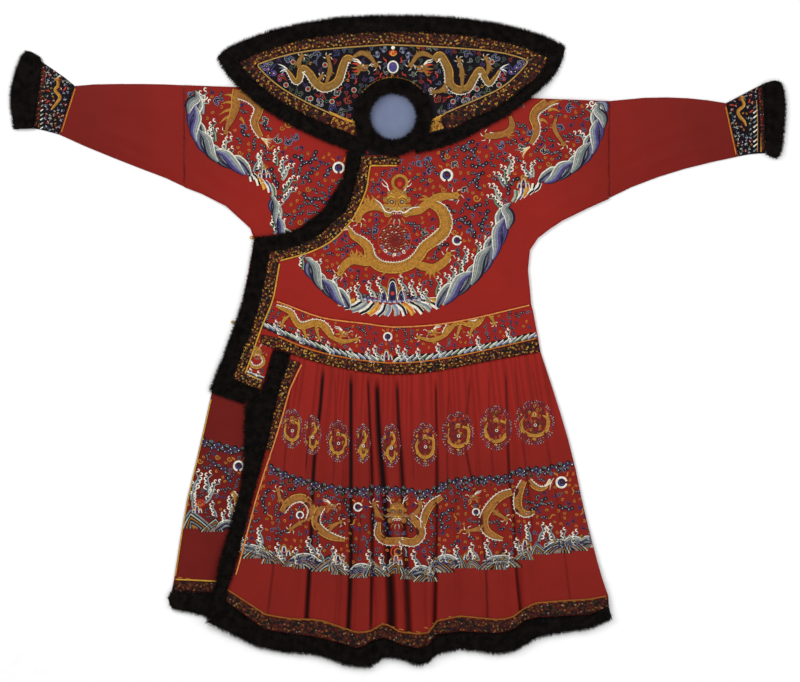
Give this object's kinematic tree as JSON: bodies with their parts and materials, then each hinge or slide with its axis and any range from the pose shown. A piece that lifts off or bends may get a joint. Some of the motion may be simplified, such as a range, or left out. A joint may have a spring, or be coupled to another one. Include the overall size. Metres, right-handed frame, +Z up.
{
  "type": "court robe",
  "caption": "Long-sleeved silk court robe laid flat, with a winged cape collar, curved side closing, pleated skirt and dark fur trim.",
  "frame": {"origin": "middle of the robe's outline on the surface that it lies on", "axes": "+Z up from the surface, +Y from the hem to the neck, +X from the sleeve at the picture's left to the one at its right"},
  "size_m": [1.9016, 1.596, 0.024],
  "materials": {
    "red_silk": "soft red silk satin with coloured and gold embroidery",
    "dark_silk": "near-black silk with coloured and gold embroidery",
    "pale_silk": "pale blue-grey silk lining",
    "brocade": "woven border of gold scrolls on dark red",
    "gold_cord": "twisted gold-coloured cord",
    "dark_fur": "short near-black fur",
    "gilt_metal": "small gilt ball buttons"
  },
  "bodies": {
    "root": {"back_body": "red_silk", "skirt_back": "red_silk", "front_under": "red_silk", "front_main": "red_silk", "neck_lining": "pale_silk", "sleeve_left": "red_silk", "sleeve_right": "red_silk", "cuff_left": "dark_silk", "cuff_right": "dark_silk", "cuff_seam_cord_left": "gold_cord", "cuff_seam_cord_right": "gold_cord", "cuff_band_left": "brocade", "cuff_band_right": "brocade", "cuff_fur_left": "dark_fur", "cuff_fur_right": "dark_fur", "cuff_fur_under_left": "dark_fur", "cuff_fur_under_right": "dark_fur", "cape_panel": "dark_silk", "cape_brocade": "brocade", "cape_cord": "gold_cord", "cape_fur_left": "dark_fur", "cape_fur_top": "dark_fur", "cape_fur_right": "dark_fur", "neck_fur": "dark_fur", "neck_cord": "gold_cord", "opening_fur": "dark_fur", "opening_brocade": "brocade", "opening_cord": "gold_cord", "side_fur": "dark_fur", "side_brocade": "brocade", "side_cord": "gold_cord", "flap": "red_silk", "flap_brocade": "brocade", "flap_cord": "gold_cord", "flap_fur": "dark_fur", "waist_band": "red_silk", "waist_brocade": "brocade", "waist_cord_top": "gold_cord", "waist_cord_low": "gold_cord", "skirt_front": "red_silk", "skirt_edge_fur": "dark_fur", "skirt_edge_brocade": "brocade", "skirt_edge_cord": "gold_cord", "hem_brocade": "brocade", "hem_cord": "gold_cord", "hem_fur": "dark_fur", "back_hem_fur": "dark_fur", "back_hem_brocade": "brocade", "back_hem_cord": "gold_cord", "back_edge_cord": "gold_cord", "button_upper": "gilt_metal", "button_lower": "gilt_metal"}
  },
  "joints": []
}
